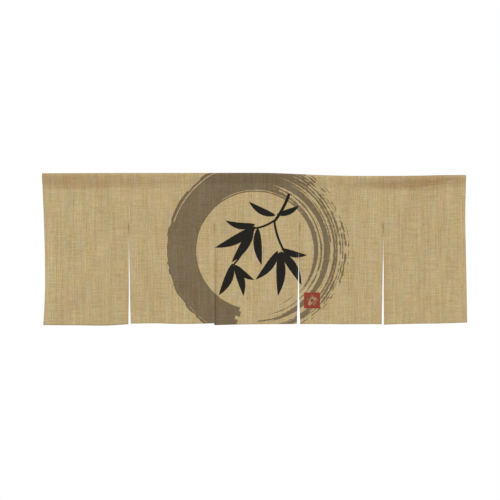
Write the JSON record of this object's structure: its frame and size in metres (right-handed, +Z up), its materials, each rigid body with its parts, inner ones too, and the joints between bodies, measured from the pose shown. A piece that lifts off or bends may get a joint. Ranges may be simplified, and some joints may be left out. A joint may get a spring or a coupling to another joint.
{
  "type": "noren curtain",
  "caption": "Short split doorway curtain of slubbed cloth panels, seamed near the top and free below, with a hollow sewn sleeve for a rod.",
  "frame": {"origin": "middle of the curtain's top edge, on the crest of the sleeve", "axes": "+X along the width, to the right seen from the front; +Y to the back, the printed front faces -Y; +Z up"},
  "size_m": [1.7018, 0.024, 0.6112],
  "materials": {
    "slub_cloth": "matt slubbed plain weave, slightly sheer, printed in grey-brown and black",
    "heading_cloth": "matt slubbed plain weave, two layers",
    "sewing_thread": "matt spun thread"
  },
  "bodies": {
    "root": {"heading_1": "heading_cloth", "heading_2": "heading_cloth", "heading_3": "heading_cloth", "heading_4": "heading_cloth", "heading_5": "heading_cloth", "panel_1": "slub_cloth", "panel_2": "slub_cloth", "panel_3": "slub_cloth", "panel_4": "slub_cloth", "panel_5": "slub_cloth"}
  },
  "joints": []
}
